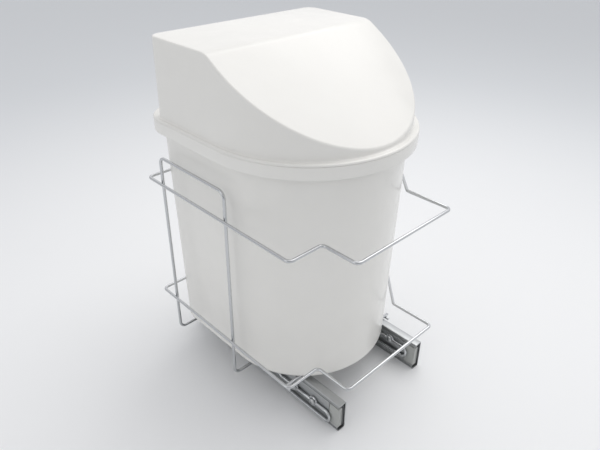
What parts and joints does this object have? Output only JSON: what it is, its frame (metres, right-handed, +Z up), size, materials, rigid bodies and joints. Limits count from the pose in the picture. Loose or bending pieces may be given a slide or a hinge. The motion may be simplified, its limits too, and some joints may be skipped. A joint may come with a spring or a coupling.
{
  "type": "pull-out waste bin unit",
  "caption": "Pull-out kitchen waste bin: round-fronted tapered bin with a sloping lift-off lid, held in a chrome wire carrier on full-extension ball-bearing slides.",
  "frame": {"origin": "on the floor the slides stand on, under the middle of the whole unit pushed in", "axes": "+Z up; -Y is the way the bin pulls out, towards the user; +X is to the right seen from the front"},
  "size_m": [0.2746, 0.322, 0.454],
  "materials": {
    "chrome_wire": "polished chrome plate on steel wire",
    "zinc_plate": "bright zinc plate, slightly satin",
    "screw_steel": "bright zinc plate",
    "ball_steel": "plain steel, lightly greased",
    "cap_plastic": "matt light grey",
    "gloss_white": "glossy white"
  },
  "bodies": {
    "cabinet_members": {"cabinet_member_left": "zinc_plate", "cabinet_member_right": "zinc_plate"},
    "outer_ball_cages": {"outer_ball_cage_left": "ball_steel", "outer_ball_cage_right": "ball_steel"},
    "intermediate_members": {"intermediate_member_left": "zinc_plate", "intermediate_member_right": "zinc_plate"},
    "inner_ball_cages": {"inner_ball_cage_left": "ball_steel", "inner_ball_cage_right": "ball_steel"},
    "carrier": {"drawer_member_left": "zinc_plate", "drawer_member_right": "zinc_plate", "end_cap_left": "cap_plastic", "end_cap_right": "cap_plastic", "hairpin_left": "chrome_wire", "hairpin_right": "chrome_wire", "screw_left_front": "screw_steel", "screw_left_middle": "screw_steel", "screw_left_rear": "screw_steel", "screw_right_front": "screw_steel", "screw_right_middle": "screw_steel", "screw_right_rear": "screw_steel", "top_loop": "chrome_wire", "bottom_loop": "chrome_wire", "side_frame_left": "chrome_wire", "side_frame_right": "chrome_wire", "rail_wire_left": "chrome_wire", "rail_wire_right": "chrome_wire", "cross_wire_front": "chrome_wire", "cross_wire_middle": "chrome_wire", "cross_wire_rear": "chrome_wire"},
    "bin": {"waste_bin": "gloss_white"},
    "bin_lid": {"lid": "gloss_white"}
  },
  "joints": [
    {"name": "slide_out", "type": "slide", "parent": "cabinet_members", "child": "carrier", "axis": [0, -1, 0], "range_m": [0, 0.3]},
    {"name": "intermediate_travel", "type": "slide", "parent": "cabinet_members", "child": "intermediate_members", "axis": [0, -1, 0], "range_m": [0, 0.15]},
    {"name": "outer_cage_travel", "type": "slide", "parent": "cabinet_members", "child": "outer_ball_cages", "axis": [0, -1, 0], "range_m": [0, 0.075]},
    {"name": "inner_cage_travel", "type": "slide", "parent": "cabinet_members", "child": "inner_ball_cages", "axis": [0, -1, 0], "range_m": [0, 0.225]},
    {"name": "bin_lift", "type": "slide", "parent": "carrier", "child": "bin", "axis": [0, 0, 1], "range_m": [0, 0.3]},
    {"name": "lid_lift", "type": "slide", "parent": "bin", "child": "bin_lid", "axis": [0, 0, 1], "range_m": [0, 0.12]}
  ],
  "couplings": [
    {"joint": "intermediate_travel", "follows": "slide_out", "ratio": 0.5},
    {"joint": "outer_cage_travel", "follows": "slide_out", "ratio": 0.25},
    {"joint": "inner_cage_travel", "follows": "slide_out", "ratio": 0.75}
  ]
}
